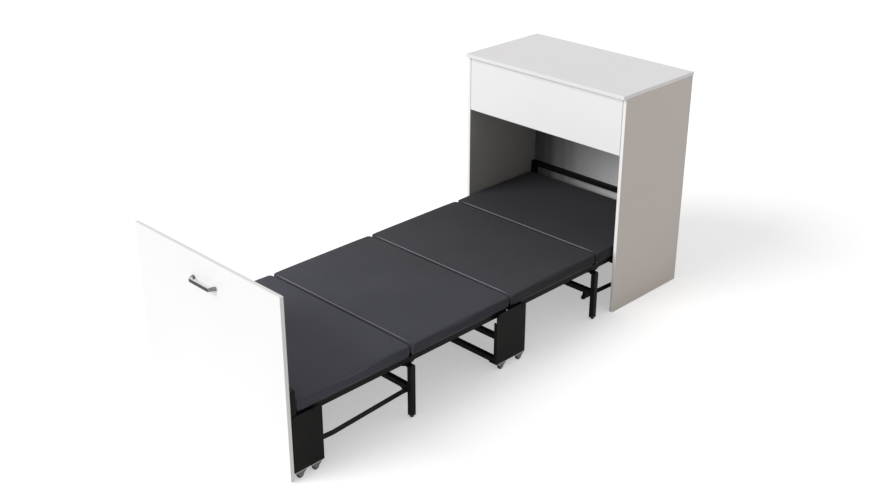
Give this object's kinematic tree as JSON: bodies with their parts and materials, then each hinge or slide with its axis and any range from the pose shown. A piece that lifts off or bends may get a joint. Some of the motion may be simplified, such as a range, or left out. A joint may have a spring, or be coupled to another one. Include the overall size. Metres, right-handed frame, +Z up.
{
  "type": "fold-down cabinet bed",
  "caption": "Low cabinet with a drawer over an open bay; a sectioned mattress bed on a wheeled steel frame unfolds from the bay behind a travelling door.",
  "frame": {"origin": "on the floor at the wall behind the cabinet, midway between the side panels", "axes": "+X to the right across the bed, +Y towards the wall behind the cabinet, +Z up; the bed unfolds towards -Y"},
  "size_m": [0.82, 2.114, 0.92],
  "materials": {
    "side_board": "satin laminate",
    "top_board": "satin laminate",
    "back_board": "matt",
    "inner_board": "matt",
    "front_board": "satin laminate",
    "drawer_board": "matt",
    "slat_wood": "black stain, matt",
    "black_steel": "satin powder coat",
    "zinc": "satin",
    "chrome": "polished",
    "cover": "fine weave",
    "black_plastic": "matt",
    "wheel_plastic": "matt"
  },
  "bodies": {
    "cabinet": {"side_panel_left": "side_board", "side_panel_right": "side_board", "top_panel": "top_board", "back_panel": "back_board", "compartment_floor": "inner_board", "drawer_runners": "zinc", "head_plate_left": "black_steel", "head_plate_right": "black_steel", "head_guard": "black_steel", "head_pivot_bolts": "black_steel"},
    "drawer": {"drawer_front": "front_board", "drawer_box": "drawer_board", "drawer_slides": "zinc"},
    "section_1": {"section_1_frame": "black_steel", "section_1_slats": "slat_wood", "mattress_pad_1": "cover"},
    "section_2": {"section_2_frame": "black_steel", "section_2_slats": "slat_wood", "mattress_pad_2": "cover"},
    "section_3": {"section_3_frame": "black_steel", "section_3_slats": "slat_wood", "mattress_pad_3": "cover"},
    "section_4": {"section_4_frame": "black_steel", "section_4_slats": "slat_wood", "mattress_pad_4": "cover"},
    "head_leg": {"head_legs": "black_steel", "head_leg_caps": "black_plastic"},
    "foot_leg": {"foot_legs": "black_steel", "foot_leg_caps": "black_plastic"},
    "head_link": {"head_links": "black_steel"},
    "foot_link": {"foot_links": "black_steel"},
    "mid_unit": {"mid_plate_left": "black_steel", "mid_plate_right": "black_steel", "mid_crossbars": "black_steel", "mid_pivot_bolts": "black_steel", "castor_fork_mid_front_left": "zinc", "castor_fork_mid_front_right": "zinc", "castor_fork_mid_rear_left": "zinc", "castor_fork_mid_rear_right": "zinc"},
    "foot_unit": {"foot_plate_left": "black_steel", "foot_plate_right": "black_steel", "foot_guard": "black_steel", "foot_pivot_bolts": "black_steel", "door": "front_board", "door_handle": "chrome", "castor_fork_foot_front_left": "zinc", "castor_fork_foot_front_right": "zinc", "castor_fork_foot_rear_left": "zinc", "castor_fork_foot_rear_right": "zinc"},
    "wheel_foot_front_left": {"castor_wheel_foot_front_left": "wheel_plastic"},
    "wheel_foot_front_right": {"castor_wheel_foot_front_right": "wheel_plastic"},
    "wheel_foot_rear_left": {"castor_wheel_foot_rear_left": "wheel_plastic"},
    "wheel_foot_rear_right": {"castor_wheel_foot_rear_right": "wheel_plastic"},
    "wheel_mid_front_left": {"castor_wheel_mid_front_left": "wheel_plastic"},
    "wheel_mid_front_right": {"castor_wheel_mid_front_right": "wheel_plastic"},
    "wheel_mid_rear_left": {"castor_wheel_mid_rear_left": "wheel_plastic"},
    "wheel_mid_rear_right": {"castor_wheel_mid_rear_right": "wheel_plastic"}
  },
  "joints": [
    {"name": "fold", "type": "hinge", "parent": "cabinet", "child": "section_1", "pos_m": [0, -0.097, 0.228], "axis": [-1, 0, 0], "range_deg": [0, 90], "deforming": ["mattress_pad_1"]},
    {"name": "head_leg_hinge", "type": "hinge", "parent": "section_1", "child": "head_leg", "pos_m": [0, -0.535, 0.2025], "axis": [1, 0, 0], "range_deg": [0, 90]},
    {"name": "head_link_hinge", "type": "hinge", "parent": "head_leg", "child": "head_link", "pos_m": [0, -0.547, 0.0855], "axis": [-1, 0, 0], "range_deg": [0, 90]},
    {"name": "section_2_hinge", "type": "hinge", "parent": "section_1", "child": "section_2", "pos_m": [0, -0.535, 0.2025], "axis": [1, 0, 0], "range_deg": [0, 180], "deforming": ["mattress_pad_2"]},
    {"name": "mid_unit_hinge", "type": "hinge", "parent": "section_2", "child": "mid_unit", "pos_m": [0, -0.973, 0.228], "axis": [-1, 0, 0], "range_deg": [0, 90]},
    {"name": "section_3_hinge", "type": "hinge", "parent": "mid_unit", "child": "section_3", "pos_m": [0, -1.105, 0.228], "axis": [-1, 0, 0], "range_deg": [0, 90], "deforming": ["mattress_pad_3"]},
    {"name": "foot_leg_hinge", "type": "hinge", "parent": "section_3", "child": "foot_leg", "pos_m": [0, -1.543, 0.2025], "axis": [1, 0, 0], "range_deg": [0, 90]},
    {"name": "foot_link_hinge", "type": "hinge", "parent": "foot_leg", "child": "foot_link", "pos_m": [0, -1.531, 0.0855], "axis": [1, 0, 0], "range_deg": [0, 90]},
    {"name": "section_4_hinge", "type": "hinge", "parent": "section_3", "child": "section_4", "pos_m": [0, -1.543, 0.2025], "axis": [1, 0, 0], "range_deg": [0, 180], "deforming": ["mattress_pad_4"]},
    {"name": "foot_unit_hinge", "type": "hinge", "parent": "section_4", "child": "foot_unit", "pos_m": [0, -1.981, 0.228], "axis": [-1, 0, 0], "range_deg": [0, 90]},
    {"name": "drawer_slide", "type": "slide", "parent": "cabinet", "child": "drawer", "axis": [0, -1, 0], "range_m": [0, 0.285]},
    {"name": "roll_foot_front_left", "type": "hinge", "parent": "foot_unit", "child": "wheel_foot_front_left", "pos_m": [-0.3838, -2.043, 0.0125], "axis": [1, 0, 0], "continuous": true},
    {"name": "roll_foot_front_right", "type": "hinge", "parent": "foot_unit", "child": "wheel_foot_front_right", "pos_m": [0.3838, -2.043, 0.0125], "axis": [1, 0, 0], "continuous": true},
    {"name": "roll_foot_rear_left", "type": "hinge", "parent": "foot_unit", "child": "wheel_foot_rear_left", "pos_m": [-0.3838, -1.979, 0.0125], "axis": [1, 0, 0], "continuous": true},
    {"name": "roll_foot_rear_right", "type": "hinge", "parent": "foot_unit", "child": "wheel_foot_rear_right", "pos_m": [0.3838, -1.979, 0.0125], "axis": [1, 0, 0], "continuous": true},
    {"name": "roll_mid_front_left", "type": "hinge", "parent": "mid_unit", "child": "wheel_mid_front_left", "pos_m": [-0.3838, -1.086, 0.0125], "axis": [1, 0, 0], "continuous": true},
    {"name": "roll_mid_front_right", "type": "hinge", "parent": "mid_unit", "child": "wheel_mid_front_right", "pos_m": [0.3838, -1.086, 0.0125], "axis": [1, 0, 0], "continuous": true},
    {"name": "roll_mid_rear_left", "type": "hinge", "parent": "mid_unit", "child": "wheel_mid_rear_left", "pos_m": [-0.3838, -0.986, 0.0125], "axis": [1, 0, 0], "continuous": true},
    {"name": "roll_mid_rear_right", "type": "hinge", "parent": "mid_unit", "child": "wheel_mid_rear_right", "pos_m": [0.3838, -0.986, 0.0125], "axis": [1, 0, 0], "continuous": true}
  ],
  "couplings": [
    {"joint": "head_leg_hinge", "follows": "fold", "ratio": 1},
    {"joint": "head_link_hinge", "follows": "fold", "ratio": 1},
    {"joint": "section_2_hinge", "follows": "fold", "ratio": 2},
    {"joint": "mid_unit_hinge", "follows": "fold", "ratio": 1},
    {"joint": "section_3_hinge", "follows": "fold", "ratio": 1},
    {"joint": "foot_leg_hinge", "follows": "fold", "ratio": 1},
    {"joint": "foot_link_hinge", "follows": "fold", "ratio": 1},
    {"joint": "section_4_hinge", "follows": "fold", "ratio": 2},
    {"joint": "foot_unit_hinge", "follows": "fold", "ratio": 1}
  ]
}
